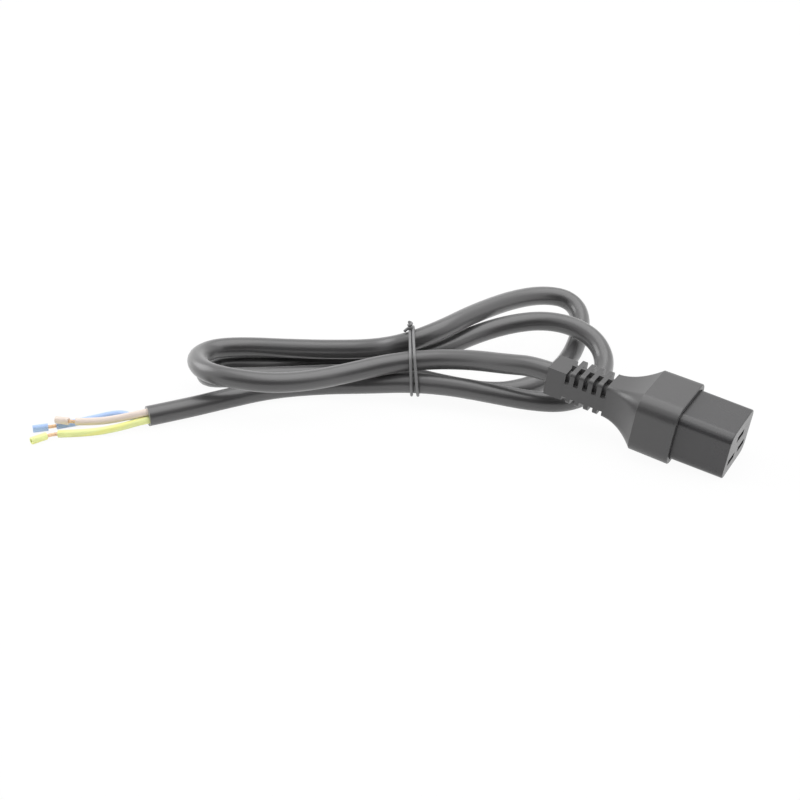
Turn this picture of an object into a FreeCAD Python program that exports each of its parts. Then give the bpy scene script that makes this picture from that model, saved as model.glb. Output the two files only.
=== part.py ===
import FreeCAD, Part
import math
import os

os.makedirs("parts", exist_ok=True)

# C19 power connector moulded on a three-core cord.  All sizes are in millimetres.
#
# The head is drawn in its own frame: the mating face is centred on the origin, +X points out of the face and
# the cord leaves towards -X.  seat_head() then lays it on the table (z = 0) with its nose down, as it rests.

# --- Mating end: what the C20 inlet's blades and shroud set -----------------------------------------------
blade_width = 8.0
blade_thickness = 2.0
slot_width_play = 0.5
slot_height_play = 0.6
contact_spacing = 13.0
contact_offset = 8.0

# --- Contact carrier, the plain front block ---------------------------------------------------------------
carrier_width = 30.0
carrier_height = 21.0
carrier_corner = 4.3
carrier_nose = 22.5
carrier_draft = 0.12
carrier_edge = 0.5
face_wall = 1.6
mouth_depth = 1.5
mouth_gap = 0.35
spigot_length = 6.0
spigot_inset = 1.0
spigot_play = 0.1

# --- Moulded body -----------------------------------------------------------------------------------------
body_step = 2.55
body_length = 17.0
body_corner = 6.85
body_draft = 0.12
body_edge = 0.4
flare_length = 15.8
flare_lead = 0.18
flare_sections = 5

# --- Ribbed bend relief and its end block -----------------------------------------------------------------
relief_wall = 0.6
relief_rise_side = 2.18
relief_rise_top = 2.28
relief_corner = 1.8
relief_slots = 5
relief_pitch = 4.1
relief_slot = 2.1
relief_collar = 0.8
spine_top = 1.6
spine_bottom = 4.0
spine_side = 6.1
spine_side_drop = 1.55
block_length = 8.4
block_side_wall = 1.98
block_top_wall = 1.3
block_bottom_wall = 2.5
block_edge = 0.3

# --- Contacts ---------------------------------------------------------------------------------------------
sheet = 0.5
leaf_gap = 2.2
leaf_pinch = 1.5
leaf_lip = 2.4
leaf_length = 15.5
pinch_share = 0.28
slack_share = 0.6
leaf_side_play = 0.3
fold_length = 6.0
cavity_play = 0.3
seat_gap = 0.3
tongue_length = 8.0
tongue_width = 2.4
barrel_length = 8.0
barrel_lap = 1.0

# --- Cord -------------------------------------------------------------------------------------------------
jacket_od = 8.8
jacket_grip = 31.0
jacket_play = 0.12
core_od = 3.2
core_gap = 0.05
core_play = 0.15
wire_od = 1.6
wire_play = 0.05
wire_bare = 1.5
wire_in_barrel = 6.5
core_straight = 4.0

# --- How it lies ------------------------------------------------------------------------------------------
nose_drop = 8.5
head_reach = 40.7
first_run = 11.0
end_run = 5.0

# The cord lies in a hank of two long turns.  Each row is a corner of its route: x, y and how far the jacket
# is lifted off the table there.  The route starts at the end block and ends where the jacket is cut.
ROUTE = [
    # off the head and out to the left, over the other strands
    (-64, -1, 19.4), (-81.5, 0, 16.5), (-98, -4, 13), (-111.5, -14, 11.9),
    (-124.5, -28, 11.8), (-135, -44.5, 12.8), (-147, -58, 14.2), (-161, -62.5, 15.2),
    # upper left loop
    (-177, -56, 15.3), (-189.5, -49.5, 13), (-194.5, -40, 11), (-190, -31, 9.7),
    # back to the right, rising over the bundle
    (-178, -24.5, 8.8), (-162, -18, 8.6), (-144, -9.5, 8.6), (-126.5, -1.5, 10),
    (-110.5, 0, 16.2), (-101, 13.5, 19), (-96.5, 39, 18),
    # far right loop, down on to the table
    (-89.5, 64.5, 16.2), (-80.5, 80, 14.6), (-70, 86.5, 12.2), (-61.5, 82.5, 7.6),
    (-56, 68, 3.4), (-53.5, 52, 0.4), (-53, 32.5, 0),
    # left along the table, under the bundle and over the last strand
    (-58.5, 14.5, 0), (-70, 3, 0), (-93, -0.5, 1.2), (-108, -4, 2.4),
    (-122.5, -9, 6.5), (-135.5, -17, 9), (-148.5, -28.5, 9.8), (-158, -44.5, 9.8),
    # lower left loop
    (-167.5, -52.8, 9.5), (-180.8, -50.8, 4.2), (-191.2, -40, 0.2), (-190.5, -26.5, 0.1),
    # back to the right along the table
    (-173.5, -18, 0), (-149.5, -7.5, 0), (-131, 2.5, 1.6), (-114, 5.2, 6.2),
    # near right loop, down behind the bend relief
    (-102.5, 14.5, 8), (-94, 34.5, 9.8), (-82, 49, 12), (-69, 57.5, 13),
    (-54.5, 58.5, 12.6), (-42, 56, 8.4), (-34, 46.5, 2), (-32, 23.5, 0),
    # left under the relief and out to the stripped end
    (-38.5, 9.5, 0.1), (-50.5, 1.5, 1.6), (-65.5, -4.5, 3.8), (-83, -7.4, 4.3),
    (-102, -12, 3.6), (-121, -17.5, 1.4), (-141, -25, 0), (-158, -39.5, 0),
    (-169.5, -57.5, 0), (-179, -72, 0), (-189.5, -86, 0),
]

# Cores past the cut jacket: lie (angle in the jacket, degrees from up towards the near side), corners of the
# insulated part, the point that the tip aims at, bare length and slug length.  Heights are off the table.
CORES = {
    "earth": (120, [(-196, -96.5, 0.8), (-205, -105.5, 0), (-216.5, -112.5, 0)], (-222.5, -123, 0), 5.0, 7.0),
    "line": (0, [(-198, -94.5, 4), (-205, -100, 3.6), (-212.5, -105.5, 3.5)], (-220, -108, 3.6), 2.8, 6.0),
    "neutral": (240, [(-202.5, -91.5, 1), (-213.5, -98.5, 0.1), (-221.5, -107.5, 0.1)], (-228, -114, 0.1), 3.4, 6.4),
}
slug_grip = 3.0

# --- Twist tie round the five strands ---------------------------------------------------------------------
tie_od = 1.4
tie_slack = 0.5
tie_place = (-105.1, -2.9)
tie_heading = 28.5
tie_spread = 3.2
tie_lean = 0.056
tie_opening = 0.1
tie_tail = 5.0
tie_tail_lean = 1.4
tie_twist = 5.0
tie_turn_step = 45

# --- Sizes that follow from the ones above ----------------------------------------------------------------
slot_width = blade_width + slot_width_play
slot_height = blade_thickness + slot_height_play
leaf_width = blade_width + 2 * leaf_side_play
barrel_od = leaf_gap + 2 * sheet
lip_height = leaf_lip + 2 * sheet
cavity_width = leaf_width + 2 * sheet + 2 * cavity_play
cavity_height = max(barrel_od, lip_height) + 2 * cavity_play
mouth_bottom = carrier_nose + mouth_depth
carrier_end = mouth_bottom + spigot_length
body_width = carrier_width + 2 * carrier_draft + 2 * body_step
body_height = carrier_height + 2 * carrier_draft + 2 * body_step
body_back = carrier_nose + body_length
relief_start = body_back + flare_length
relief_length = relief_collar + relief_slots * relief_pitch - (relief_pitch - relief_slot)
block_start = relief_start + relief_length
head_length = block_start + block_length
bore_radius = jacket_od / 2 + jacket_play
relief_core = bore_radius + relief_wall
relief_width = 2 * (relief_core + relief_rise_side)
relief_height = 2 * (relief_core + relief_rise_top)
jacket_start = head_length - jacket_grip
core_lay = (core_od + core_gap) / math.sqrt(3)
leaf_front = face_wall + seat_gap
leaf_back = leaf_front + leaf_length
barrel_front = leaf_back + tongue_length - barrel_lap
barrel_back = barrel_front + barrel_length
core_front = barrel_back + wire_bare
SEATS = {
    "line": (contact_spacing / 2, -contact_offset / 2),
    "neutral": (-contact_spacing / 2, -contact_offset / 2),
    "earth": (0.0, contact_offset / 2),
}
tilt = math.radians(nose_drop)
face_height = (carrier_height / 2 - carrier_edge) * math.cos(tilt) + carrier_edge * (1 - math.sin(tilt))


def vec(x, y, z):
    return FreeCAD.Vector(x, y, z)


# Places a head solid on the table: nose down by nose_drop, its front bottom edge at z = 0.
SEAT = FreeCAD.Placement(vec(head_reach, 0, face_height), FreeCAD.Rotation(vec(0, 1, 0), nose_drop))


def rounded_rect(back, width, height, radius):
    """A wire of four straight edges and four corner arcs across the head's axis, `back` behind the face."""
    y = width / 2 - radius
    z = height / 2 - radius
    edges = []
    for turn, (cy, cz) in enumerate([(y, z), (-y, z), (-y, -z), (y, -z)]):
        ring = [math.radians(90 * turn + step) for step in (0, 45, 90)]
        start, middle, end = [vec(-back, cy + radius * math.cos(a), cz + radius * math.sin(a)) for a in ring]
        if edges:
            edges.append(Part.makeLine(edges[-1].Vertexes[-1].Point, start))
        edges.append(Part.Arc(start, middle, end).toShape())
    edges.append(Part.makeLine(edges[-1].Vertexes[-1].Point, edges[0].Vertexes[0].Point))
    return Part.Wire(edges)


def block_between(front, back, width, height, at=(0.0, 0.0)):
    """A square-edged block from `front` to `back` behind the face, centred on `at` (y, z)."""
    return Part.makeBox(back - front, width, height, vec(-back, at[0] - width / 2, at[1] - height / 2))


def rod_between(front, back, radius, at=(0.0, 0.0)):
    """A round rod along the head's axis from `front` to `back` behind the face."""
    return Part.makeCylinder(radius, back - front, vec(-back, at[0], at[1]), vec(1, 0, 0))


def edges_at(shape, back):
    """The edges that lie wholly in the plane `back` behind the face."""
    return [e for e in shape.Edges if all(abs(v.X + back) < 1e-6 for v in e.Vertexes) and len(e.Vertexes) > 1]


def rounded_path(points, report=None):
    """Straight runs joined by tangent arcs, each as large as its two runs allow."""
    pieces = []
    start = points[0]
    for before, corner, after in zip(points, points[1:], points[2:]):
        back = (before - corner).normalize()
        ahead = (after - corner).normalize()
        half_turn = (math.pi - back.getAngle(ahead)) / 2
        reach = 0.45 * min((before - corner).Length, (after - corner).Length)
        radius = reach / math.tan(half_turn)
        inward = (back + ahead).normalize()
        middle = corner + inward * (math.hypot(radius, reach) - radius)
        enter = corner + back * reach
        leave = corner + ahead * reach
        pieces.append(Part.LineSegment(start, enter).toShape())
        pieces.append(Part.Arc(enter, middle, leave).toShape())
        start = leave
        if report is not None:
            report.append(radius)
    pieces.append(Part.LineSegment(start, points[-1]).toShape())
    return Part.Wire(pieces)


def tube(points, radius, report=None):
    """A round rod swept along rounded_path(points)."""
    path = rounded_path(points, report)
    heading = points[1] - points[0]
    ring = Part.Wire(Part.makeCircle(radius, points[0], heading))
    return path.makePipeShell([ring], True, False)


# --- Head -------------------------------------------------------------------------------------------------

def contact_carrier():
    """The front block: three blade slots, a contact cavity behind each, and a spigot into the body."""
    grown = 2 * carrier_draft
    shape = Part.makeLoft([
        rounded_rect(0, carrier_width, carrier_height, carrier_corner),
        rounded_rect(mouth_bottom, carrier_width + grown, carrier_height + grown, carrier_corner),
    ], True, True)
    shape = shape.makeFillet(carrier_edge, edges_at(shape, 0))
    spigot_section = rounded_rect(mouth_bottom, carrier_width - 2 * spigot_inset,
                                  carrier_height - 2 * spigot_inset, carrier_corner - spigot_inset)
    shape = shape.fuse(Part.Face(spigot_section).extrude(vec(-spigot_length, 0, 0)))
    for seat in SEATS.values():
        shape = shape.cut(block_between(-1, face_wall + 1, slot_width, slot_height, seat))
        shape = shape.cut(block_between(face_wall, carrier_end + 1, cavity_width, cavity_height, seat))
    return shape


def flare():
    """The concave shoulder: rounded rectangles that grow along a curve, steepest where it meets the body."""
    width = body_width - 2 * body_draft
    height = body_height - 2 * body_draft
    sections = []
    for step in range(flare_sections):
        along = step / (flare_sections - 1)
        out = flare_lead * (1 - along) + (1 - flare_lead) * (1 - along) ** 2
        sections.append(rounded_rect(body_back + flare_length * along,
                                     relief_width + (width - relief_width) * out,
                                     relief_height + (height - relief_height) * out,
                                     relief_corner + (body_corner - relief_corner) * out))
    return Part.makeLoft(sections, True, False)


def bend_relief():
    """The flexible neck: slots cut in from the four long corners leave a round core and four flat spines."""
    section = rounded_rect(relief_start, relief_width, relief_height, relief_corner)
    neck = Part.Face(section).extrude(vec(-relief_length, 0, 0))
    for step in range(relief_slots):
        slot_front = relief_start + relief_collar + step * relief_pitch
        slot_back = slot_front + relief_slot
        ring = block_between(slot_front, slot_back, 2 * relief_width, 2 * relief_height)
        for left_whole in (
            rod_between(slot_front - 1, slot_back + 1, relief_core),
            block_between(slot_front - 1, slot_back + 1, 3 * relief_width, spine_side, (0, -spine_side_drop)),
            block_between(slot_front - 1, slot_back + 1, spine_top, relief_height, (0, relief_height / 2)),
            block_between(slot_front - 1, slot_back + 1, spine_bottom, relief_height, (0, -relief_height / 2)),
        ):
            ring = ring.cut(left_whole)
        neck = neck.cut(ring)
    return neck


def end_block():
    """The plain block that the cord leaves, deeper below the cord than above it."""
    width = 2 * (bore_radius + block_side_wall)
    top = bore_radius + block_top_wall
    bottom = bore_radius + block_bottom_wall
    shape = block_between(block_start, head_length, width, top + bottom, (0, (top - bottom) / 2))
    return shape.makeChamfer(block_edge, edges_at(shape, head_length))


def inner_route(name):
    """Where a core runs in the head: straight off its crimp, across, and straight into the jacket."""
    y, z = SEATS[name]
    lie = math.atan2(y, z)
    near = vec(-core_front, y, z)
    far = vec(-jacket_start, core_lay * math.sin(lie), core_lay * math.cos(lie))
    if name != "earth":
        far = vec(-jacket_start, math.copysign(core_lay * math.sin(math.radians(120)), y), -core_lay / 2)
    run = vec(core_straight, 0, 0)
    return [near, near - run, far + run, far]


def connector_body():
    """The moulded body: a step behind the carrier, the flare, the ribbed relief and the end block."""
    grown = 2 * body_draft
    shell = Part.makeLoft([
        rounded_rect(carrier_nose, body_width, body_height, body_corner),
        rounded_rect(body_back, body_width - grown, body_height - grown, body_corner),
    ], True, True)
    shell = shell.makeFillet(body_edge, edges_at(shell, carrier_nose))
    shape = shell.fuse([flare(), bend_relief(), end_block()])
    mouth = rounded_rect(carrier_nose - 1, carrier_width + 2 * carrier_draft + 2 * mouth_gap,
                         carrier_height + 2 * carrier_draft + 2 * mouth_gap, carrier_corner + mouth_gap)
    shape = shape.cut(Part.Face(mouth).extrude(vec(-mouth_depth - 1, 0, 0)))
    inset = spigot_inset - spigot_play
    pocket = rounded_rect(mouth_bottom - 1, carrier_width - 2 * inset, carrier_height - 2 * inset,
                          carrier_corner - inset)
    shape = shape.cut(Part.Face(pocket).extrude(vec(-spigot_length - 1, 0, 0)))
    channel = core_od / 2 + core_play
    barrel_channel = max(barrel_od, core_od) / 2 + core_play
    for name, seat in SEATS.items():
        near, turn, back, far = inner_route(name)
        shape = shape.cut(rod_between(carrier_end - 1, core_front + 0.5, barrel_channel, seat))
        shape = shape.cut(tube([near, turn, back, far], channel))
    return shape.cut(rod_between(jacket_start, head_length + 1, bore_radius))


def contact(name):
    """A folded sheet contact: two sprung leaves joined by a side fold, a tongue and a crimp barrel."""
    y, z = SEATS[name]
    pinch_at = leaf_front + leaf_length * pinch_share
    slack_at = leaf_front + leaf_length * slack_share
    shape = None
    for side in (1, -1):
        inner = [(leaf_front, leaf_lip / 2), (pinch_at, leaf_pinch / 2),
                 (slack_at, leaf_gap / 2), (leaf_back, leaf_gap / 2)]
        outer = [(back, height + sheet) for back, height in reversed(inner)]
        corners = [vec(-back, y - leaf_width / 2, z + side * height) for back, height in inner + outer]
        leaf = Part.Face(Part.makePolygon(corners + corners[:1])).extrude(vec(0, leaf_width, 0))
        shape = leaf if shape is None else shape.fuse(leaf)
    fold_at = (y - leaf_width / 2 - sheet / 2, z)
    fold = block_between(leaf_back - fold_length, leaf_back, sheet, leaf_gap + 2 * sheet, fold_at)
    tongue_at = (y, z - leaf_gap / 2 - sheet / 2)
    tongue = block_between(leaf_back, barrel_front + barrel_lap, tongue_width, sheet, tongue_at)
    barrel = rod_between(barrel_front, barrel_back, barrel_od / 2, (y, z))
    shape = shape.fuse([fold, tongue, barrel])
    bore = rod_between(barrel_front - 1, barrel_back + 1, wire_od / 2 + wire_play, (y, z))
    return shape.cut(bore).removeSplitter()


def inner_wire(name):
    """The bare conductor from inside the crimp barrel to the start of its insulation."""
    return rod_between(barrel_back - wire_in_barrel, core_front, wire_od / 2, SEATS[name])


# --- Cord -------------------------------------------------------------------------------------------------

def cord_route():
    """The corners of the cord's centreline, from the end block to the cut jacket."""
    leave = SEAT.multVec(vec(-head_length, 0, 0))
    straight = SEAT.multVec(vec(-head_length - first_run, 0, 0))
    return [leave, straight] + [vec(x, y, lift + jacket_od / 2) for x, y, lift in ROUTE]


def cord_jacket():
    """The jacket: the free cord, and the straight length that the bend relief grips."""
    radii = []
    points = cord_route()
    free = tube(points, jacket_od / 2, radii)
    length = rounded_path(points).Length
    expected = math.pi * (jacket_od / 2) ** 2 * length
    print("cord arcs from %.1f to %.1f mm radius" % (min(radii), max(radii)))
    print("arc radii:", " ".join("%.0f" % r for r in radii))
    print("cord length %.0f mm, volume over section x length %.4f" % (length, free.Volume / expected))
    gripped = rod_between(jacket_start, head_length, jacket_od / 2)
    gripped.Placement = SEAT.multiply(gripped.Placement)
    return gripped.fuse(free)


def core_parts(name):
    """One stripped core past the jacket: its insulation, its bare wire and the slug left on the tip."""
    lie, corners, aim, bare, slug_length = CORES[name]
    before, cut = cord_route()[-2:]
    ahead = (cut - before).normalize()
    near_side = ahead.cross(vec(0, 0, 1)).normalize()
    angle = math.radians(lie)
    start = cut + (vec(0, 0, math.cos(angle)) - near_side * math.sin(angle)) * core_lay
    rest = [vec(x, y, lift + core_od / 2) for x, y, lift in corners]
    insulation = tube([start, start + ahead * end_run] + rest, core_od / 2)
    bend = rest[-1] + (rest[-1] - rest[-2]).normalize() * (bare / 2)
    tip_way = (vec(aim[0], aim[1], aim[2] + core_od / 2) - bend).normalize()
    slug_start = bend + tip_way * (bare / 2)
    wire = tube([rest[-1], bend, slug_start + tip_way * slug_grip], wire_od / 2)
    slug = Part.makeCylinder(core_od / 2, slug_length, slug_start, tip_way)
    slug = slug.cut(Part.makeCylinder(wire_od / 2 + wire_play, slug_length, slug_start, tip_way))
    return {"core_" + name: insulation, "wire_" + name: wire, "slug_" + name: slug}


# --- Twist tie --------------------------------------------------------------------------------------------

def strands_at(place, normal, across):
    """Where the cord crosses an upright plane: two spots (distance across, height) for each strand of the
    bundle, as far apart as its slant widens its cut."""
    spots = []
    points = rounded_path(cord_route()).discretize(Distance=jacket_od / 10)
    for start, end in zip(points, points[1:]):
        ahead = (start - place).dot(normal)
        beyond = (end - place).dot(normal)
        hit = start + (end - start) * (ahead / (ahead - beyond))
        if ahead * beyond < 0 and abs((hit - place).dot(across)) < 3 * jacket_od:
            slant = abs((end - start).normalize().dot(normal))
            widening = jacket_od / 2 * (1 / slant - 1)
            spots += [((hit - place).dot(across) + side * widening, hit.z) for side in (-1, 1)]
    return spots


def hull(spots):
    """The outer spots, in order, counter-clockwise."""
    ordered = sorted(spots)
    rim = []
    for pass_over in (ordered, ordered[::-1]):
        base = len(rim)
        for spot in pass_over:
            while len(rim) > base + 1 and turn_of(rim[-2], rim[-1], spot) <= 0:
                rim.pop()
            rim.append(spot)
        rim.pop()
    return rim


def turn_of(a, b, c):
    return (b[0] - a[0]) * (c[1] - a[1]) - (b[1] - a[1]) * (c[0] - a[0])


def wrap(spots, radius, place, across, up):
    """A wire of tangent lines and arcs, `radius` outside the hull of the spots, open by a hair at the top."""
    rim = hull(spots)
    first = rim.index(max(rim, key=lambda spot: (spot[1], -spot[0])))
    rim = rim[first:] + rim[:first]
    ways = [math.atan2(b[1] - a[1], b[0] - a[0]) - math.pi / 2 for a, b in zip(rim, rim[1:] + rim[:1])]
    middle = (rim[0][0] + rim[-1][0]) / 2

    def at(spot, angle):
        return place + across * (spot[0] + radius * math.cos(angle)) + up * (spot[1] + radius * math.sin(angle))

    edges = []
    corner = at((middle - tie_opening / 2, rim[0][1]), math.pi / 2)
    for spot, start, end in zip(rim, ways[-1:] + ways, ways):
        edges.append(Part.makeLine(corner, at(spot, start)))
        half_turn = ((end - start) % (2 * math.pi)) / 2
        edges.append(Part.Arc(at(spot, start), at(spot, start + half_turn), at(spot, end)).toShape())
        corner = at(spot, end)
    edges.append(Part.makeLine(corner, at((middle + tie_opening / 2, rim[0][1]), math.pi / 2)))
    return Part.Wire(edges)


def twisted_tail(foot, wide):
    """The four ends twisted together: an oval section, its long way along `wide` at the foot, turns as it rises
    and leans over the bundle."""
    half = tie_od / 2
    steps = round(tie_tail / tie_twist * 360 / tie_turn_step)
    sections = []
    for step in range(steps + 1):
        spin = FreeCAD.Rotation(vec(0, 0, 1), step * tie_turn_step)
        centre = foot + (vec(0, 0, tie_tail) - wide * tie_tail_lean) * (step / steps)
        long_way = spin.multVec(wide) * half
        short_way = spin.multVec(wide.cross(vec(0, 0, 1))) * half
        left = Part.Arc(centre - long_way + short_way, centre - long_way * 2, centre - long_way - short_way)
        right = Part.Arc(centre + long_way - short_way, centre + long_way * 2, centre + long_way + short_way)
        below = Part.LineSegment(centre - long_way - short_way, centre + long_way - short_way)
        above = Part.LineSegment(centre + long_way + short_way, centre - long_way + short_way)
        sections.append(Part.Wire([edge.toShape() for edge in (left, below, right, above)]))
    return Part.makeLoft(sections, True, False)


def twist_tie():
    """Two turns of coated wire round the bundle, with the ends twisted together on top."""
    heading = math.radians(tie_heading)
    normal = vec(math.cos(heading), math.sin(heading), 0)
    across = vec(-math.sin(heading), math.cos(heading), 0)
    radius = jacket_od / 2 + tie_od / 2 + tie_slack
    turns = []
    tops = []
    for side in (-0.5, 0.5):
        place = vec(tie_place[0], tie_place[1], 0) + normal * (side * tie_spread)
        up = vec(0, 0, 1) - normal * (side * tie_lean)
        path = wrap(strands_at(place, normal, across), radius, place, across, up)
        start = path.Edges[0].FirstParameter
        tops.append(path.Edges[0].valueAt(start))
        ring = Part.Wire(Part.makeCircle(tie_od / 2, tops[-1], path.Edges[0].tangentAt(start)))
        turns.append(path.makePipeShell([ring], True, False))
    wide = tops[1] - tops[0]
    foot = (tops[0] + tops[1]) * 0.5 - vec(0, 0, tie_od / 2)
    return twisted_tail(foot, vec(wide.x, wide.y, 0).normalize()).fuse(turns)


parts = {"contact_carrier": contact_carrier(), "connector_body": connector_body()}
for name in SEATS:
    parts["contact_" + name] = contact(name)
    parts["inner_wire_" + name] = inner_wire(name)
    parts["inner_core_" + name] = tube(inner_route(name), core_od / 2)
for shape in parts.values():
    shape.Placement = SEAT.multiply(shape.Placement)
parts["cord_jacket"] = cord_jacket()
for name in CORES:
    parts.update(core_parts(name))
parts["twist_tie"] = twist_tie()
for name, shape in parts.items():
    shape.exportStep("parts/" + name + ".step")
    lowest = min(point.z for point in shape.tessellate(0.05)[0])
    print("%-20s solids %d  valid %s  volume %.1f  z from %.3f" % (
        name, len(shape.Solids), shape.isValid(), shape.Volume, lowest))
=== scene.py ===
# %% [markdown]
# # A power connector on a hank of cord
#
# The object is a moulded female power connector.  A round black cord leaves its ribbed bend relief, lies in
# a hank of two long turns under a twist tie, and ends stripped, with three coloured cores and bright copper.
# The rigid pieces come from a CAD model as fixed nodes.  This lesson dresses them with materials, and makes
# the pieces that are soft or stranded: the cord, its cores, their copper and the tie.
#
# The scene is in metres, in the CAD model's own frame: +X is the way the connector plugs in, +Z is up and
# the table is at zero.  The pieces' own sizes are written in millimetres, and MM turns them into metres.
# The sizes of the stage round them stay in metres.

# %% Load the CAD model
import bpy
import bmesh
import math
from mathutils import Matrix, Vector


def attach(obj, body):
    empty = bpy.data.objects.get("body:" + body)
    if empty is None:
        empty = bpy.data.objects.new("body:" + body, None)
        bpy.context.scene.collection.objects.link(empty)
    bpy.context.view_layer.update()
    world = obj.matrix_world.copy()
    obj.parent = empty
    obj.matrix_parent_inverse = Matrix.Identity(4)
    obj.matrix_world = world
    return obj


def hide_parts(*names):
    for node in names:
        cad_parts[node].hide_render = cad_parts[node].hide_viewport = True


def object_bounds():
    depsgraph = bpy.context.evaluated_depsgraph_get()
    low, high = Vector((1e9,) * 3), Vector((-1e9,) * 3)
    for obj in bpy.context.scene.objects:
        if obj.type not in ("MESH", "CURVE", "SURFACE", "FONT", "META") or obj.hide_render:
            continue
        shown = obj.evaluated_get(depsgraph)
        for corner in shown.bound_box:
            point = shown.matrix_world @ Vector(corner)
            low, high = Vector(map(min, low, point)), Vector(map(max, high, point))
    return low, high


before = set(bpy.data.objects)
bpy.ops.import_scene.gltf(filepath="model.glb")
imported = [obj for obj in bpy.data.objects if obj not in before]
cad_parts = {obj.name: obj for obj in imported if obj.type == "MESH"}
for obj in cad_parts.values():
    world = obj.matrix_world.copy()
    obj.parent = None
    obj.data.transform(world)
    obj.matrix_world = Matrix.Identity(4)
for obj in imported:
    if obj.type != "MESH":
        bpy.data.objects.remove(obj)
cad_low, cad_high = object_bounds()
scene = bpy.context.scene
MM = 0.001
ROOT = "root"
print("nodes:", len(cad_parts), "size in mm:", [round(s / MM) for s in cad_high - cad_low])

# %% [markdown]
# ## The camera
#
# A product is often shot with a long lens, because it keeps parallel edges nearly parallel.  This one stands
# about 0.6 m away, to the right of the hank and 28 degrees above the table, so the mating face just shows.

# %% Make the camera
CAMERA_PLACE = Vector((171.6, -526.5, 309.6)) * MM
CAMERA_DOWN = math.radians(28.0)
CAMERA_TURN = math.radians(28.5)
LEVEL = math.radians(90)
LENS = 67.5
NEAREST_SEEN = 0.02


def linked(name, data):
    """A new object of the scene that holds `data`."""
    made = bpy.data.objects.new(name, data)
    scene.collection.objects.link(made)
    return made


camera_data = bpy.data.cameras.new("camera")
camera_data.lens = LENS
camera_data.clip_start = NEAREST_SEEN
camera = linked("camera", camera_data)
camera.location = CAMERA_PLACE
camera.rotation_euler = (LEVEL - CAMERA_DOWN, 0, CAMERA_TURN)
scene.camera = camera
camera_reach = (CAMERA_PLACE - (cad_low + cad_high) / 2).length
print("camera", round(camera_reach, 3), "m from the middle of the object")

# %% [markdown]
# ## The cord's route
#
# A mains cord is a fixed length of something springy, so it lies in loose, even curves.  Where it lies can't
# be worked out by a rule, so its route is a list of given points: x, y and how far the jacket is
# lifted off the table.  In the right-hand loops these are the CAD tube's own corners.  Elsewhere most of
# them were moved from the tube's, and the cord leaves the tube by 12.5 mm at most.

# %% Lay out the cord's route
CORD_RADIUS = 4.4
EXIT = Vector((-41.39, 0.0, 22.58))
HEAD_TILT = math.radians(8.5)
OUTWARD = Vector((-math.cos(HEAD_TILT), 0.0, math.sin(HEAD_TILT)))
FIRST_RUN = 8.0
SEATED = 3.0
ROUTE = [
    # off the head and out to the left, over the other strands
    (-62, -1.1, 17.9), (-78.5, -1, 15.9), (-96, -4.2, 13.5), (-111.5, -14, 12.1),
    (-124.5, -28, 10.4), (-135, -44.5, 11.3), (-147, -58, 13.4), (-163.8, -63.8, 14.8),
    # upper left loop
    (-176.1, -62.6, 14.4), (-186.2, -54.2, 12.9), (-190.5, -44.7, 11.4), (-188.9, -34.1, 10.2),
    # back to the right, rising over the bundle
    (-178.7, -25.6, 9.5), (-162, -18, 9.2), (-144, -9.5, 9.2), (-126.5, -1.5, 10.2),
    (-110.5, 0, 16.2), (-101, 13.5, 19), (-96.5, 39, 18),
    # far right loop, down on to the table
    (-89.5, 64.5, 16.2), (-80.5, 80, 14.6), (-70, 86.5, 12.2), (-61.5, 82.5, 7.6),
    (-56, 68, 3.4), (-53.5, 52, 0.4), (-53, 32.5, 0),
    # left along the table, under the bundle and beside the last strand
    (-58.5, 14.5, 0), (-70, 2.4, 0), (-92.6, -1.6, 0.8), (-108, -4.4, 2.4),
    (-123.8, -6.7, 0.9), (-135.8, -11.8, 0), (-146.8, -18.9, 0), (-156.8, -27.7, 0.9),
    # lower left loop
    (-165.8, -37.2, 2.4), (-173.3, -46.4, 4.6), (-182.8, -49, 3.3), (-190.6, -43, 0.7),
    (-190.7, -32.3, 0),
    # back to the right along the table
    (-182.1, -26.2, 0), (-170.4, -21.5, 0), (-160.7, -13.1, 0), (-149.6, -5.2, 0),
    (-138.2, 1, 0.1), (-126.8, 4, 2.2), (-114, 5.2, 6.2),
    # near right loop, down behind the bend relief
    (-102.5, 14.5, 8), (-94, 34.5, 9.8), (-82, 49, 12), (-69, 57.5, 13),
    (-54.5, 58.5, 12.6), (-42, 56, 8.4), (-34, 46.5, 2), (-32, 23.5, 0),
    # left under the relief and out to the stripped end
    (-38.5, 9.5, 0.1), (-50.5, 1.5, 1.6), (-65.5, -5.1, 4.4), (-83, -8.5, 5.3),
    (-102, -12.1, 4.1), (-120.8, -17.9, 1.4), (-140.3, -26.2, 0), (-157.6, -40.3, 0),
    (-169.5, -57.5, 0), (-179, -72, 0), (-189.5, -86, 0),
]

route = [Vector((x, y, lift + CORD_RADIUS)) for x, y, lift in ROUTE]
cord_points = [EXIT - OUTWARD * SEATED, EXIT + OUTWARD * FIRST_RUN] + route
print("the cord's route has", len(cord_points), "points")

# %% [markdown]
# ## One smooth curve
#
# The cord could be a mesh swept along its route, but a curve object does that by itself: it has a line, a
# round section and caps.  A NURBS spline of order 3 bends evenly past its control points and never leaves the
# corner that they make, so a short list of points is enough.  The order and the end flag are set after the
# points are added: set before, they are lost.  The line alone, without its section, is kept for the tie.

# %% Draw the cord
CURVE_STEPS = 12
SECTION_STEPS = 7


def smooth_curve(name, points, radius, steps=CURVE_STEPS, section_steps=SECTION_STEPS):
    """A round curve object of one open NURBS spline, with `points` and `radius` in millimetres."""
    data = bpy.data.curves.new(name, "CURVE")
    data.dimensions = "3D"
    spline = data.splines.new("NURBS")
    spline.points.add(len(points) - 1)
    for control, point in zip(spline.points, points):
        control.co = (*(point * MM), 1.0)
    spline.order_u = 3
    spline.use_endpoint_u = True
    data.resolution_u = steps
    data.bevel_depth = radius * MM
    data.bevel_resolution = section_steps
    data.use_fill_caps = True
    return linked(name, data)


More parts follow.
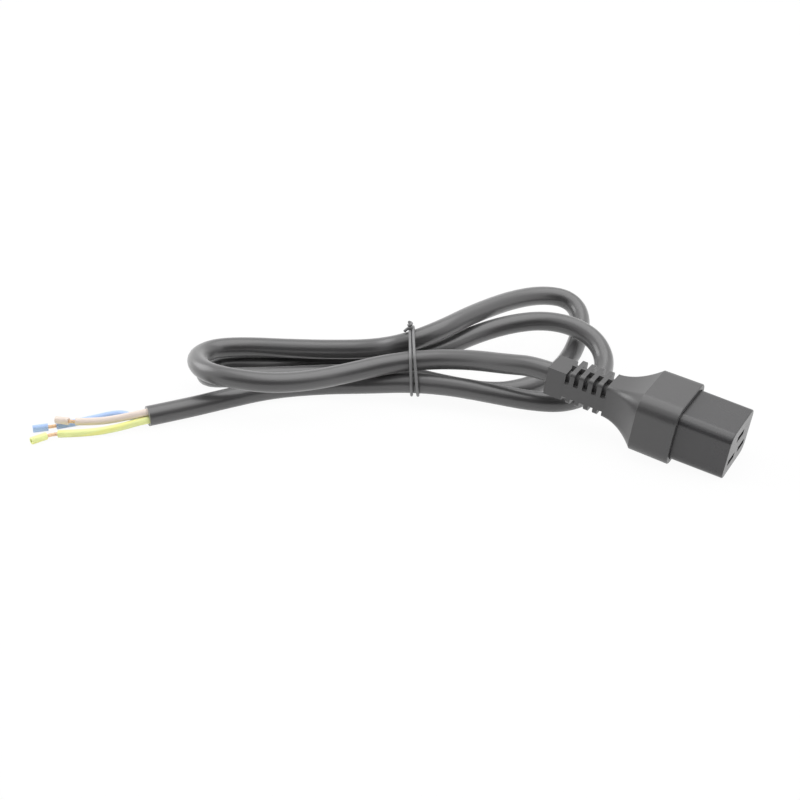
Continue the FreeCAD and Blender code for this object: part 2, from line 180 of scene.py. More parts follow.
def evaluated_mesh(thing):
    """A plain mesh of what an object looks like after its modifiers and its curve's settings."""
    bpy.context.view_layer.update()
    return bpy.data.meshes.new_from_object(thing.evaluated_get(bpy.context.evaluated_depsgraph_get()))


def centreline(curve):
    """The points along a curve's own line, in metres."""
    bevel = curve.data.bevel_depth
    curve.data.bevel_depth = 0.0
    line = evaluated_mesh(curve)
    points = [vertex.co.copy() for vertex in line.vertices]
    bpy.data.meshes.remove(line)
    curve.data.bevel_depth = bevel
    return points


def run_length(points):
    return sum((b - a).length for a, b in zip(points, points[1:]))


cord = smooth_curve("cord", cord_points, CORD_RADIUS)
cord_line = centreline(cord)

# %% [markdown]
# ## Nodes by script
#
# Materials, the world and Geometry Nodes are all trees of nodes.  One short helper adds a node, fills its
# inputs and links it, so that each tree reads from top to bottom like a recipe.

# %% Make the node helper
WHITE = (1, 1, 1, 1)


def add(tree, kind, values=None, **settings):
    """Adds a node.  `values` fills its inputs, by name or number, and links any value that is a socket."""
    node = tree.nodes.new(kind)
    for key, value in settings.items():
        setattr(node, key, value)
    for key, value in (values or {}).items():
        if isinstance(value, bpy.types.NodeSocket):
            tree.links.new(value, node.inputs[key])
        else:
            node.inputs[key].default_value = value
    return node


def seen_directly(tree):
    """1 for camera, glossy and transmission rays, and 0 for the rays that only carry light."""
    path = add(tree, "ShaderNodeLightPath").outputs
    first = add(tree, "ShaderNodeMath", {0: path["Is Camera Ray"], 1: path["Is Glossy Ray"]},
                operation="MAXIMUM")
    return add(tree, "ShaderNodeMath", {0: first.outputs[0], 1: path["Is Transmission Ray"]},
               operation="MAXIMUM").outputs[0]


print("node helpers:", add.__name__, "and", seen_directly.__name__)

# %% [markdown]
# ## Light from all round
#
# The object lies in even white light, like a product in a light tent.  The world gives the light that comes
# from all round.  What the camera, reflections and glass see of it is plain white, so the background is white
# without more light on the object.

# %% Build the world
WORLD_LIGHT = 0.78


def build_world():
    world = bpy.data.worlds.new("light_tent")
    world.use_nodes = True
    tree = world.node_tree
    tree.nodes.clear()
    light = add(tree, "ShaderNodeBackground", {"Color": WHITE, "Strength": WORLD_LIGHT})
    white = add(tree, "ShaderNodeBackground", {"Color": WHITE, "Strength": 1.0})
    mix = add(tree, "ShaderNodeMixShader",
              {0: seen_directly(tree), 1: light.outputs[0], 2: white.outputs[0]})
    add(tree, "ShaderNodeOutputWorld", {"Surface": mix.outputs[0]})
    scene.world = world


scene.view_settings.view_transform = "Standard"
build_world()
print("world:", scene.world.name, "at", WORLD_LIGHT)

# %% [markdown]
# ## The floor
#
# The floor is a sheet of nearly white paper.  Where it is seen, it mixes a little of its own shading with
# plain white, so it joins the white background and still keeps a faint contact shadow.

# %% Lay the floor
FLOOR_HALF = 3.0
FLOOR_TONE = 0.93
FLOOR_SHADOW = 0.05


def stage_sheet(name, corners, material, seen=True):
    """A sheet of one four-sided face for the stage round the object.  The camera sees it only if `seen`."""
    data = bpy.data.meshes.new(name)
    data.from_pydata(corners, [], [(0, 1, 2, 3)])
    data.materials.append(material)
    sheet = linked(name, data)
    sheet.visible_camera = seen


def paper_material():
    paper = bpy.data.materials.new("floor_paper")
    paper.use_nodes = True
    tree = paper.node_tree
    tree.nodes.clear()
    shade = add(tree, "ShaderNodeBsdfDiffuse", {"Color": (FLOOR_TONE, FLOOR_TONE, FLOOR_TONE, 1)})
    white = add(tree, "ShaderNodeEmission", {"Color": WHITE, "Strength": 1.0})
    share = add(tree, "ShaderNodeMath", {0: seen_directly(tree), 1: 1 - FLOOR_SHADOW},
                operation="MULTIPLY")
    mix = add(tree, "ShaderNodeMixShader",
              {0: share.outputs[0], 1: shade.outputs[0], 2: white.outputs[0]})
    add(tree, "ShaderNodeOutputMaterial", {"Surface": mix.outputs[0]})
    return paper


floor_corners = [(x * FLOOR_HALF, y * FLOOR_HALF, 0) for x, y in [(-1, -1), (1, -1), (1, 1), (-1, 1)]]
stage_sheet("floor", floor_corners, paper_material())
print("floor", 2 * FLOOR_HALF, "m wide")

# %% [markdown]
# ## Two softboxes and a black card
#
# Two wide lamps add a little light: one from above, and a smaller one from the side of the stripped end.
# Black plastic on white looks flat, because it reflects white on every side.  A black card behind the camera
# gives it something dark to reflect, which draws a dark line along each cord and rounded corner.

# %% Place the lamps and the card
LAMPS = {
    # where the lamp stands, how wide it is and its power
    "overhead_softbox": (Vector((0.12, 0.2, 1.0)), 1.25, 7.2),
    "side_softbox": (Vector((-1.0, -0.15, 0.55)), 0.7, 4.0),
}
CARD_REACH = 0.85
CARD_WIDTH = 2.2
CARD_TOP = 0.85
CARD_TONE = 0.01


def build_lamp(name, place, width, power):
    """A square softbox that faces the middle of the floor."""
    data = bpy.data.lights.new(name, "AREA")
    data.shape = "SQUARE"
    data.size = width
    data.energy = power
    lamp = linked(name, data)
    lamp.location = place
    lamp.rotation_euler = (-place).to_track_quat("-Z", "Y").to_euler()


def new_material(name):
    """A new material, with its node tree and its Principled shader."""
    material = bpy.data.materials.new(name)
    material.use_nodes = True
    return material, material.node_tree, material.node_tree.nodes["Principled BSDF"]


def build_card():
    """A black card behind the camera, upright and facing the object.  The camera doesn't see it."""
    black, tree, shader = new_material("black_card")
    shader.inputs["Base Color"].default_value = (CARD_TONE, CARD_TONE, CARD_TONE, 1)
    shader.inputs["Roughness"].default_value = 1.0
    toward = Vector((math.sin(CAMERA_TURN), -math.cos(CAMERA_TURN), 0))
    along = Vector((toward.y, -toward.x, 0)) * (CARD_WIDTH / 2)
    left, right = toward * CARD_REACH - along, toward * CARD_REACH + along
    rise = Vector((0, 0, CARD_TOP))
    stage_sheet("black_card", [left, right, right + rise, left + rise], black, seen=False)


for lamp_name, (lamp_place, lamp_width, lamp_power) in LAMPS.items():
    build_lamp(lamp_name, lamp_place, lamp_width, lamp_power)
build_card()
print("lamps:", ", ".join(LAMPS), "and a card", CARD_WIDTH, "m wide")

# %% [markdown]
# ## A moulded skin, as a shader group
#
# Moulded plastic is never one flat colour.  Its tone drifts a little as the melt flowed, its gloss changes
# where hands and the mould touched it, and a fine grain breaks up reflections.  All the plastics here share
# that, so it is one node group with its own inputs, and each material sets its tone and grain.
# The group gives out a colour, a roughness and a height; the shader itself stays in the material.

# %% Make the moulded-skin group
DRIFT_DETAIL = 3.0
GRAIN_DETAIL = 2.0
GRAIN_TONE = 0.12


def new_group(name, inputs, outputs):
    """A shader node group with (name, type, default) inputs and (name, type) outputs."""
    tree = bpy.data.node_groups.new(name, "ShaderNodeTree")
    for label, kind, default in inputs:
        socket = tree.interface.new_socket(label, in_out="INPUT", socket_type="NodeSocket" + kind)
        socket.default_value = default
    for label, kind in outputs:
        tree.interface.new_socket(label, in_out="OUTPUT", socket_type="NodeSocket" + kind)
    return tree, add(tree, "NodeGroupInput").outputs, add(tree, "NodeGroupOutput").inputs


def span(tree, value, low, high):
    """Spreads a 0 to 1 value between `low` and `high`, which may be sockets."""
    return add(tree, "ShaderNodeMapRange", {"Value": value, "To Min": low, "To Max": high}).outputs[0]


def about_zero(tree, value):
    """Moves a 0 to 1 value to lie evenly about zero."""
    return add(tree, "ShaderNodeMath", {0: value, 1: 0.5}, operation="SUBTRACT").outputs[0]


def moulded_skin():
    tree, given, result = new_group(
        "moulded_skin",
        [("Tone", "Color", (0.1, 0.1, 0.1, 1)), ("Drift", "Float", 0.1), ("Drift Scale", "Float", 60.0),
         ("Grain Scale", "Float", 2500.0), ("Gloss Low", "Float", 0.35), ("Gloss High", "Float", 0.5)],
        [("Color", "Color"), ("Roughness", "Float"), ("Height", "Float")])
    place = add(tree, "ShaderNodeTexCoord").outputs["Object"]
    drift = add(tree, "ShaderNodeTexNoise",
                {"Vector": place, "Scale": given["Drift Scale"], "Detail": DRIFT_DETAIL}).outputs["Fac"]
    grain = add(tree, "ShaderNodeTexNoise",
                {"Vector": place, "Scale": given["Grain Scale"], "Detail": GRAIN_DETAIL}).outputs["Fac"]
    amount = add(tree, "ShaderNodeMath", {0: about_zero(tree, drift), 1: given["Drift"]},
                 operation="MULTIPLY")
    fine = add(tree, "ShaderNodeMath", {0: about_zero(tree, grain), 1: GRAIN_TONE, 2: amount.outputs[0]},
               operation="MULTIPLY_ADD")
    level = add(tree, "ShaderNodeMath", {0: fine.outputs[0], 1: 1.0}, operation="ADD")
    tint = add(tree, "ShaderNodeVectorMath", {0: given["Tone"], "Scale": level.outputs[0]},
               operation="SCALE")
    tree.links.new(tint.outputs[0], result["Color"])
    tree.links.new(span(tree, drift, given["Gloss Low"], given["Gloss High"]), result["Roughness"])
    tree.links.new(grain, result["Height"])
    return tree


SKIN = moulded_skin()
print("group", SKIN.name, "with", len(SKIN.interface.items_tree), "sockets")

# %% [markdown]
# ## The black plastics
#
# The front block is a hard moulding and the body behind it a softer PVC, a shade lighter and less glossy.
# The cord's jacket is the same PVC drawn through a die, which leaves it smoother and a little glossier.  It
# also carries a thin pale film, its bloom, which shows where the eye meets the surface at a low angle, and
# the cores have a little of it too.  The shader's sheen gives that.

# %% Make the black plastics
GRAIN_DEPTH = 0.1 * MM
BLOOM_SPREAD = 0.4


def skin_material(name, tone, drift, grain, gloss, bump, specular, bloom=0.0):
    """A plastic that uses the moulded-skin group.  Its `bloom` is the pale film that shows at the edges."""
    material, tree, shader = new_material(name)
    skin = add(tree, "ShaderNodeGroup", node_tree=SKIN)
    skin.inputs["Tone"].default_value = (*tone, 1)
    skin.inputs["Drift"].default_value = drift
    skin.inputs["Grain Scale"].default_value = grain
    skin.inputs["Gloss Low"].default_value, skin.inputs["Gloss High"].default_value = gloss
    tree.links.new(skin.outputs["Color"], shader.inputs["Base Color"])
    tree.links.new(skin.outputs["Roughness"], shader.inputs["Roughness"])
    relief = add(tree, "ShaderNodeBump",
                 {"Height": skin.outputs["Height"], "Strength": bump, "Distance": GRAIN_DEPTH})
    tree.links.new(relief.outputs["Normal"], shader.inputs["Normal"])
    shader.inputs["Specular IOR Level"].default_value = specular
    shader.inputs["Sheen Weight"].default_value = bloom
    shader.inputs["Sheen Roughness"].default_value = BLOOM_SPREAD
    return material


BLOCK_PLASTIC = skin_material("block_plastic", (0.046, 0.045, 0.047), drift=0.10, grain=3200,
                              gloss=(0.23, 0.32), bump=0.14, specular=0.65)
BODY_PVC = skin_material("body_pvc", (0.057, 0.056, 0.057), drift=0.14, grain=2400,
                         gloss=(0.28, 0.40), bump=0.2, specular=0.78)
JACKET_PVC = skin_material("jacket_pvc", (0.062, 0.061, 0.062), drift=0.12, grain=3000,
                           gloss=(0.26, 0.36), bump=0.1, specular=1.0, bloom=0.6)
TIE_COAT = skin_material("tie_coat", (0.20, 0.20, 0.202), drift=0.1, grain=4000,
                         gloss=(0.3, 0.4), bump=0.1, specular=0.8)
print("plastics:", BLOCK_PLASTIC.name, BODY_PVC.name, JACKET_PVC.name, TIE_COAT.name)

# %% [markdown]
# ## The colours of the cores
#
# Each core has a thin coloured insulation.  Brown is line, blue is neutral, and earth is yellow with a green
# stripe that winds slowly round it.  The stripe reads an attribute that is stored on the mesh when the core
# is made: the direction of each point from the core's centre.

# %% Make the core colours
def plain_core_material(name, tone):
    """Insulation of one colour."""
    return skin_material(name, tone, drift=0.1, grain=5000, gloss=(0.38, 0.5), bump=0.1,
                         specular=0.5, bloom=0.3)


def striped_core_material(name, ground, stripe, stripe_reach, softness):
    """Earth insulation: the skin takes the stripe's colour where the stored direction points sideways."""
    material = plain_core_material(name, ground)
    tree = material.node_tree
    skin = next(node for node in tree.nodes if node.type == "GROUP")
    side = add(tree, "ShaderNodeAttribute", attribute_name="side")
    across = add(tree, "ShaderNodeSeparateXYZ", {0: side.outputs["Vector"]})
    spread = add(tree, "ShaderNodeMath", {0: across.outputs["X"]}, operation="ABSOLUTE")
    mask = add(tree, "ShaderNodeMapRange",
               {"Value": spread.outputs[0], "From Min": stripe_reach - softness,
                "From Max": stripe_reach + softness})
    tint = add(tree, "ShaderNodeMix", {"Factor": mask.outputs[0], "A": (*ground, 1), "B": (*stripe, 1)},
               data_type="RGBA")
    mixed = next(socket for socket in tint.outputs if socket.type == "RGBA" and socket.enabled)
    tree.links.new(mixed, skin.inputs["Tone"])
    return material


BROWN_CORE = plain_core_material("brown_core", (0.83, 0.71, 0.63))
BLUE_CORE = plain_core_material("blue_core", (0.43, 0.59, 0.93))
EARTH_CORE = striped_core_material("earth_core", (0.97, 0.98, 0.34), (0.92, 0.98, 0.42),
                                   stripe_reach=0.55, softness=0.12)
print("core colours:", BROWN_CORE.name, BLUE_CORE.name, EARTH_CORE.name)

# %% [markdown]
# ## The metals
#
# The wires are bright drawn copper, and the contacts behind the slots are brass.  Drawing and pressing leave
# fine scratches, so one noise varies both the tone and the roughness a little.

# %% Make the metals
SCRATCH_SCALE = 900.0
SCRATCH_DETAIL = 4.0
SMOOTHER = 0.08
ROUGHER = 0.12


def metal_material(name, tone, roughness, drift):
    """A drawn metal: bright, with a tone and a finish that vary along fine scratches."""
    material, tree, shader = new_material(name)
    place = add(tree, "ShaderNodeTexCoord").outputs["Object"]
    noise = add(tree, "ShaderNodeTexNoise",
                {"Vector": place, "Scale": SCRATCH_SCALE, "Detail": SCRATCH_DETAIL}).outputs["Fac"]
    level = span(tree, noise, 1 - drift, 1 + drift)
    tint = add(tree, "ShaderNodeVectorMath", {0: tone, "Scale": level}, operation="SCALE")
    tree.links.new(tint.outputs[0], shader.inputs["Base Color"])
    tree.links.new(span(tree, noise, roughness - SMOOTHER, roughness + ROUGHER),
                   shader.inputs["Roughness"])
    shader.inputs["Metallic"].default_value = 1.0
    return material


COPPER = metal_material("copper", (0.92, 0.67, 0.45), roughness=0.3, drift=0.12)
BRASS = metal_material("brass", (0.80, 0.66, 0.38), roughness=0.35, drift=0.1)
print("metals:", COPPER.name, BRASS.name)

# %% [markdown]
# ## Directions along a line
#
# The cores and the short slugs of insulation left on their tips are round skins.  To make one, rings of
# points are set across a line.  Two cross directions are carried along it without twisting, so the skin never
# pinches.

# %% Helpers that follow a line
def line_frames(points):
    """(distance, point, side, up) along a line, with the side carried along so that it doesn't spin."""
    frames = []
    side = (points[1] - points[0]).normalized().orthogonal().normalized()
    distance = 0.0
    for i, point in enumerate(points):
        ahead = (points[min(i + 1, len(points) - 1)] - points[max(i - 1, 0)]).normalized()
        side = (side - ahead * side.dot(ahead)).normalized()
        if i:
            distance += (point - points[i - 1]).length
        frames.append((distance, point, side, ahead.cross(side)))
    return frames


def frame_at(frames, distance):
    """The point and cross directions at a distance along the line."""
    for before, after in zip(frames, frames[1:]):
        if distance <= after[0]:
            break
    share = (distance - before[0]) / (after[0] - before[0])
    point, side, up = [before[i].lerp(after[i], share) for i in (1, 2, 3)]
    return point, side.normalized(), up.normalized()


print("frames carried along the cord's line:", len(line_frames(cord_line)))

# %% [markdown]
# ## Skins along a line
#
# A curve object could give a plain round rod, but cut insulation has a square edge and a real hole where the
# copper goes in.  A mesh gives both: a short profile lists how far along each ring lies and how wide it is.
# Every finished piece then gets its material and the body that it rides on, and the CAD nodes that it
# stands for are hidden.

# %% Helpers that make and finish a skin
RING_SIDES = 36
SMOOTH_ANGLE = math.radians(50)


def skin_along(name, points, profile, closed, twist=0.0):
    """A round skin whose `profile` lists (distance along the line, radius).  A closed profile joins its last
    ring to its first, and an open one gets a disc at each end.  Each point stores its direction from the
    centre, turned by `twist` for each metre."""
    frames = line_frames(points)
    mesh = bmesh.new()
    side_layer = mesh.verts.layers.float_vector.new("side")
    rings = []
    for distance, radius in profile:
        point, side, up = frame_at(frames, distance)
        ring = []
        for step in range(RING_SIDES):
            angle = 2 * math.pi * step / RING_SIDES
            vert = mesh.verts.new(point + (side * math.cos(angle) + up * math.sin(angle)) * radius)
            turned = angle + twist * distance
            vert[side_layer] = Vector((math.cos(turned), math.sin(turned), 0))
            ring.append(vert)
        rings.append(ring)
    for here, there in zip(rings, rings[1:] + (rings[:1] if closed else [])):
        for step in range(RING_SIDES):
            beyond = (step + 1) % RING_SIDES
            mesh.faces.new((here[step], here[beyond], there[beyond], there[step]))
    if not closed:
        mesh.faces.new(rings[0])
        mesh.faces.new(rings[-1])
    bmesh.ops.recalc_face_normals(mesh, faces=mesh.faces)
    return mesh_object(name, mesh)


def mesh_object(name, mesh):
    """Turns a bmesh into a linked object, shaded smooth except at its cut edges."""
    data = bpy.data.meshes.new(name)
    mesh.to_mesh(data)
    mesh.free()
    data.shade_smooth()
    data.set_sharp_from_angle(angle=SMOOTH_ANGLE)
    return linked(name, data)


def finish_piece(piece, material, slot, *replaced):
    """Gives a piece its material and its body, and hides the CAD nodes it stands for.  `slot` is not used."""
    piece.data.materials.clear()
    piece.data.materials.append(material)
    for polygon in getattr(piece.data, "polygons", []):
        polygon.material_index = 0
    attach(piece, ROOT)
    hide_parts(*replaced)
    return piece


print("rings have", RING_SIDES, "points")

# %% [markdown]
# ## Stranded copper
#
# A flexible core's conductor is a bundle of fine wires laid with a slow twist: one in the middle, six round
# it and twelve round those.  Geometry Nodes suit this well.  Small circles are set on a middle point and on
# the points of two rings, the curve is given a tilt that grows with its length, and Curve to Mesh carries all
# the circles along it at once.

# %% Build the strand tree
STRAND_RINGS = ((1, 0.0), (6, 2.0), (12, 4.0))
STRAND_SIDES = 10


def new_geometry_tree(name, inputs):
    tree = bpy.data.node_groups.new(name, "GeometryNodeTree")
    tree.interface.new_socket("Geometry", in_out="INPUT", socket_type="NodeSocketGeometry")
    for label, kind in inputs:
        tree.interface.new_socket(label, in_out="INPUT", socket_type="NodeSocket" + kind)
    tree.interface.new_socket("Geometry", in_out="OUTPUT", socket_type="NodeSocketGeometry")
    return tree, add(tree, "NodeGroupInput").outputs, add(tree, "NodeGroupOutput").inputs


def strand_profile(tree, strand_radius):
    """The bundle's section: a small circle for each strand, on rings some strand radii from the middle."""
    spots = add(tree, "GeometryNodeJoinGeometry")
    for strands, radii_out in STRAND_RINGS:
        reach = add(tree, "ShaderNodeMath", {0: strand_radius, 1: radii_out}, operation="MULTIPLY")
        if strands == 1:
            circle = add(tree, "GeometryNodeMeshLine", {"Count": 1})
        else:
            circle = add(tree, "GeometryNodeMeshCircle", {"Vertices": strands, "Radius": reach.outputs[0]})
        tree.links.new(circle.outputs[0], spots.inputs[0])
    strand = add(tree, "GeometryNodeCurvePrimitiveCircle",
                 {"Resolution": STRAND_SIDES, "Radius": strand_radius})
    bundle = add(tree, "GeometryNodeInstanceOnPoints",
                 {"Points": spots.outputs[0], "Instance": strand.outputs[0]})
    return add(tree, "GeometryNodeRealizeInstances", {"Geometry": bundle.outputs[0]}).outputs[0]


def strand_tree():
    tree, given, result = new_geometry_tree(
        "twisted_strands", [("Strand Radius", "Float"), ("Lay Length", "Float"), ("Step", "Float"),
                            ("Material", "Material")])
    even = add(tree, "GeometryNodeResampleCurve", {"Curve": given["Geometry"], "Length": given["Step"]},
               mode="LENGTH")
    along = add(tree, "GeometryNodeSplineParameter").outputs["Length"]
    turns = add(tree, "ShaderNodeMath", {0: along, 1: given["Lay Length"]}, operation="DIVIDE")
    angle = add(tree, "ShaderNodeMath", {0: turns.outputs[0], 1: 2 * math.pi}, operation="MULTIPLY")
    tilted = add(tree, "GeometryNodeSetCurveTilt", {"Curve": even.outputs[0], "Tilt": angle.outputs[0]})
    swept = add(tree, "GeometryNodeCurveToMesh",
                {"Curve": tilted.outputs[0], "Profile Curve": strand_profile(tree, given["Strand Radius"]),
                 "Fill Caps": True})
    real = add(tree, "GeometryNodeRealizeInstances", {"Geometry": swept.outputs[0]})
    coat = add(tree, "GeometryNodeSetMaterial",
               {"Geometry": real.outputs[0], "Material": given["Material"]})
    tree.links.new(coat.outputs[0], result["Geometry"])
    return tree


STRANDS = strand_tree()
print("the tree", STRANDS.name, "lays", sum(strands for strands, radii_out in STRAND_RINGS), "strands")

# %% [markdown]
# ## From a tree to a mesh
#
# A modifier runs the tree on a curve.  Its inputs are set by their identifiers before anything is evaluated,
# and the result is kept as a plain mesh, so that nothing live is left on the piece.

# %% Grow a piece with a tree
STRAND_SIZES = {"Strand Radius": 0.155 * MM, "Lay Length": 16.0 * MM, "Step": 0.4 * MM}


def grown(name, base, tree, values):
    """Runs a geometry tree on a base object and returns the result as a plain mesh object."""
    modifier = base.modifiers.new("grow", "NODES")
    modifier.node_group = tree
    for item in tree.interface.items_tree:
        if item.in_out == "INPUT" and item.name in values:
            modifier[item.identifier] = values[item.name]
    data = evaluated_mesh(base)
    base.modifiers.remove(modifier)
    bpy.data.objects.remove(base)
    data.name = name
    data.shade_smooth()
    return linked(name, data)


bundle_radius = (STRAND_RINGS[-1][1] + 1) * STRAND_SIZES["Strand Radius"]
print("a bundle of strands is", round(2 * bundle_radius / MM, 2), "mm across")

# %% [markdown]
# ## Cut insulation
#
# Each core's insulation ends in a square cut round a short hole for the copper.  A slug is a loose sleeve of
# the same insulation, with a soft cut edge at each end.  Both are lists of rings, (distance, radius).

# %% Draw the profiles of a core and a slug
CORE_RADIUS = 1.6
WIRE_RADIUS = 0.8
WIRE_PLAY = 0.05
EDGE = 0.18
EDGE_MIDDLE = 0.3
RING_STEP = 0.8
HOLE_DEPTH = 1.5

skin_radius, cut_edge, hole_radius = CORE_RADIUS * MM, EDGE * MM, (WIRE_RADIUS + WIRE_PLAY) * MM
mid_edge = cut_edge * EDGE_MIDDLE


def core_profile(length):
    """Insulation: a plain tube of rings, its far end cut square round a short hole for the copper."""
    steps = max(2, round(length / (RING_STEP * MM)))
    rings = [((length - cut_edge) * step / steps, skin_radius) for step in range(steps + 1)]
    return rings + [(length - mid_edge, skin_radius - mid_edge), (length, skin_radius - cut_edge),
                    (length, hole_radius), (length - HOLE_DEPTH * MM, hole_radius)]


def slug_profile(length):
    """A loose slug: a sleeve with a soft cut edge at each end."""
    near = [(0, hole_radius), (0, skin_radius - cut_edge), (mid_edge, skin_radius - mid_edge),
            (cut_edge, skin_radius)]
    return near + [(length - distance, radius) for distance, radius in near[::-1]]


print("a core is", 2 * CORE_RADIUS, "mm across, its hole", round(2 * hole_radius / MM, 2), "mm")

# %% [markdown]
# ## The stripped end
#
# Each core leaves the cut jacket, runs on for 30 to 40 mm, and has been nicked so that a slug of insulation
# is pulled part way off its copper.  The three cores lie in a triangle in the jacket, which sets where each
# starts: `lie` is its angle there, in degrees from the top towards the camera's side.  Their corners are few
# and listed, as the cord's are, and `aim` is the point that the slug lies towards.

# %% Make the cores, slugs and copper
CORE_GAP = 0.05
CORE_LAY = (2 * CORE_RADIUS + CORE_GAP) / math.sqrt(3)
END_RUN = 5.0
SLUG_GRIP = 3.0
STRIPE_PITCH = 60 * MM
STRIPE_TWIST = 2 * math.pi / STRIPE_PITCH
CORES = {
    "earth": {"lie": 120, "aim": (-222.5, -123, 0), "bare": 5.0, "slug": 7.0,
              "corners": [(-196, -96.5, 0.8), (-205, -105.5, 0), (-216.5, -112.5, 0)]},
    "line": {"lie": 0, "aim": (-220, -108, 3.6), "bare": 2.8, "slug": 6.0,
             "corners": [(-198, -94.5, 3.6), (-205, -100, 2.8), (-212.5, -105.5, 3.5)]},
    "neutral": {"lie": 240, "aim": (-228, -114, 0.1), "bare": 3.4, "slug": 6.4,
                "corners": [(-202.2, -88.1, 2.4), (-213.6, -98.3, 0.1), (-221.5, -107.5, 0.1)]},
}
CORE_LOOKS = {"earth": (EARTH_CORE, "core_green_yellow"), "line": (BROWN_CORE, "core_brown"),
              "neutral": (BLUE_CORE, "core_blue")}


def above_table(x, y, lift):
    """The middle of a core that is lifted off the table by `lift`."""
    return Vector((x, y, lift + CORE_RADIUS))


def make_core(name, lie, corners, aim, bare, slug):
    """One core past the jacket: insulation, bare strands and slug."""
    material, slot = CORE_LOOKS[name]
    before, cut = cord_points[-2:]
    ahead = (cut - before).normalized()
    far_side = ahead.cross(Vector((0, 0, 1))).normalized()
    angle = math.radians(lie)
    start = cut + (Vector((0, 0, math.cos(angle))) - far_side * math.sin(angle)) * CORE_LAY
    rest = [above_table(*corner) for corner in corners]
    guide = smooth_curve("guide", [start, start + ahead * END_RUN] + rest, 0)
    line = centreline(guide)
    bpy.data.objects.remove(guide)
    core = skin_along("insulation_" + name, line, core_profile(run_length(line)), False, STRIPE_TWIST)
    finish_piece(core, material, slot, "core_" + name)

    onward = (rest[-1] - rest[-2]).normalized()
    bend = rest[-1] + onward * (bare / 2)
    tip_way = (above_table(*aim) - bend).normalized()
    slug_start = bend + tip_way * (bare / 2)
    strands = smooth_curve("strands", [rest[-1] - onward, bend, slug_start + tip_way * SLUG_GRIP], 0)
    copper = grown("copper_" + name, strands, STRANDS, {**STRAND_SIZES, "Material": COPPER})
    finish_piece(copper, COPPER, "copper_strand", "wire_" + name)

    slug_line = [slug_start * MM, (slug_start + tip_way * slug) * MM]
    sleeve = skin_along("slug_end_" + name, slug_line, slug_profile(slug * MM), True)
    finish_piece(sleeve, material, slot, "slug_" + name)
    print(name, "core", round(run_length(line) / MM, 1), "mm, bare", bare, "mm, slug", slug, "mm")
    return [core, copper, sleeve]


end_pieces = [piece for name, sizes in CORES.items() for piece in make_core(name, **sizes)]
finish_piece(cord, JACKET_PVC, "cord_pvc", "cord_jacket")

# %% [markdown]
# ## Where the tie goes round
#
# One length of coated wire goes twice round the bundle.  Its path is worked out from the cord, so that it
# follows if the cord moves.  Where the strands cross the tie's upright plane, each leaves a section as wide
# as its slant makes it, and a tight loop lies along the outline of them all, as a rubber band would.

# %% Find the outline of the bundle
TIE_PLACE = Vector((-105.1, -2.9, 0))
TIE_HEADING = math.radians(28.5)
TIE_ALONG = Vector((math.cos(TIE_HEADING), math.sin(TIE_HEADING), 0))
TIE_ACROSS = Vector((-math.sin(TIE_HEADING), math.cos(TIE_HEADING), 0))
BUNDLE_REACH = 6 * CORD_RADIUS


def strand_spots(place):
    """Two spots (across, height) for each strand that crosses the plane at `place`, as far apart as its
    slant widens it."""
    spots = []
    for here, there in zip(cord_line, cord_line[1:]):
        start, end = here / MM, there / MM
        ahead, beyond = (start - place).dot(TIE_ALONG), (end - place).dot(TIE_ALONG)
        hit = start.lerp(end, ahead / (ahead - beyond)) if ahead != beyond else start
        if ahead * beyond < 0 and abs((hit - place).dot(TIE_ACROSS)) < BUNDLE_REACH:
            slant = abs((end - start).normalized().dot(TIE_ALONG))
            widening = CORD_RADIUS * (1 / slant - 1)
            spots += [((hit - place).dot(TIE_ACROSS) + side * widening, hit.z) for side in (-1, 1)]
    return spots


def bend_of(a, b, c):
    """Above zero where the way from a by b to c bends to the left."""
    return (b[0] - a[0]) * (c[1] - a[1]) - (b[1] - a[1]) * (c[0] - a[0])


def outline(spots):
    """The outer spots in order, anticlockwise from the left end of the top."""
    rim = []
    ordered = sorted(spots)
    for pass_over in (ordered, ordered[::-1]):
        base = len(rim)
        for spot in pass_over:
            while len(rim) > base + 1 and bend_of(rim[-2], rim[-1], spot) <= 0:
                rim.pop()
            rim.append(spot)
        rim.pop()
    first = rim.index(max(rim, key=lambda spot: (spot[1], -spot[0])))
    return rim[first:] + rim[:first]


print("the tie's plane cuts", len(strand_spots(TIE_PLACE)) // 2, "strands")

# %% [markdown]
# ## The twist tie
#
# Each turn is made of arcs round the outer strands and the straight runs between them.  On top of the bundle
# one end of the wire is coiled into a small knob, and the other sticks out beside it.  The whole tie is one
# smooth curve, as the cord is.

# %% Make the twist tie
TIE_RADIUS = 0.65
TIE_SLACK = 0.12
TIE_LIFT = 0.1
TIE_SPREAD = 3.0
TIE_LEAN = 0.06
TIE_SKEW = 0.06
ARC_STEP = 0.2
KNOB_HEIGHT = 3.2
KNOB_TURNS = 2.4
KNOB_STEPS = 32
LOOSE_END_REACH = 3.2
LOOSE_END_DROP = Vector((0, 0, 1.1))
TIE_CURVE_STEPS = 4
TIE_SECTION_STEPS = 4


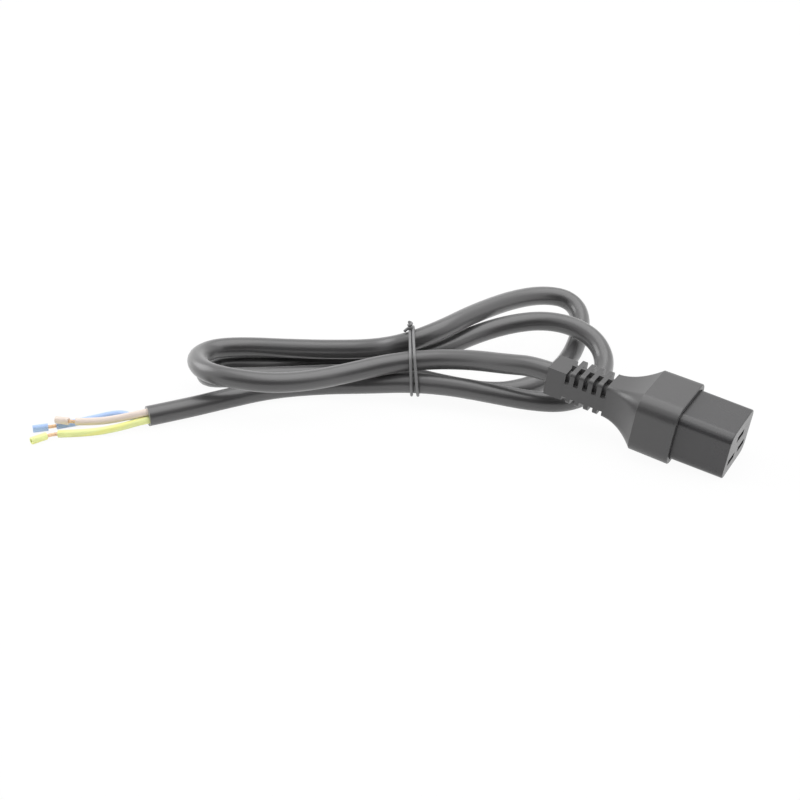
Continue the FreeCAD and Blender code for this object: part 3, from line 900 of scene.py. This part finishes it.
def loop_points(side):
    """One turn of the tie, from the top round to the top."""
    place = TIE_PLACE + TIE_ALONG * (side * TIE_SPREAD)
    up = Vector((0, 0, 1)) - TIE_ALONG * (TIE_SKEW + side * TIE_LEAN)
    rim = outline(strand_spots(place))
    reach = CORD_RADIUS + TIE_RADIUS + TIE_SLACK
    ways = [math.atan2(b[1] - a[1], b[0] - a[0]) - math.pi / 2 for a, b in zip(rim, rim[1:] + rim[:1])]
    points = []
    for spot, start, end in zip(rim, ways[-1:] + ways, ways):
        turn = (end - start) % (2 * math.pi)
        steps = max(1, math.ceil(turn / ARC_STEP))
        for step in range(steps + 1):
            angle = start + turn * step / steps
            across = spot[0] + reach * math.cos(angle)
            height = max(spot[1] + reach * math.sin(angle), TIE_RADIUS + TIE_LIFT)
            points.append(place + TIE_ACROSS * across + up * height)
    return points


def knob_points(foot):
    """The end that is coiled into a knob, from its foot up."""
    points = []
    for step in range(KNOB_STEPS + 1):
        angle = 2 * math.pi * KNOB_TURNS * step / KNOB_STEPS
        out = (TIE_ALONG * (math.cos(angle) - 1) + TIE_ACROSS * math.sin(angle)) * TIE_RADIUS
        points.append(foot + out + Vector((0, 0, KNOB_HEIGHT)) * (step / KNOB_STEPS))
    return points


def loose_end(foot):
    """The end that sticks out beside the knob, from its tip back to the foot."""
    tip = foot - TIE_ALONG * LOOSE_END_REACH - LOOSE_END_DROP
    return [tip, tip.lerp(foot, 0.5) + LOOSE_END_DROP, foot - TIE_ALONG * TIE_RADIUS]


left, right = loop_points(-0.5), loop_points(0.5)
foot = (left[0] + left[-1] + right[0] + right[-1]) / 4
tie_points = loose_end(foot) + left + right + knob_points(foot)
tie = smooth_curve("tie_wire", tie_points, TIE_RADIUS, TIE_CURVE_STEPS, TIE_SECTION_STEPS)
finish_piece(tie, TIE_COAT, "tie_plastic", "twist_tie")
print("the tie's wire is", round(run_length(tie_points)), "mm long")

# %% [markdown]
# ## Dressing the rigid nodes
#
# The head's pieces come from the CAD model with the right shape, so only their materials change.  The
# contacts lie behind the slots, and the inner wires and cores are there for whoever cuts the part open.

# %% Give the CAD nodes their materials
NODE_LOOKS = {"contact_carrier": BLOCK_PLASTIC, "connector_body": BODY_PVC}
for name, (material, slot) in CORE_LOOKS.items():
    NODE_LOOKS["contact_" + name] = BRASS
    NODE_LOOKS["inner_wire_" + name] = COPPER
    NODE_LOOKS["inner_core_" + name] = material
for name, material in NODE_LOOKS.items():
    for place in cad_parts[name].material_slots:
        place.material = material
print("dressed", len(NODE_LOOKS), "nodes")
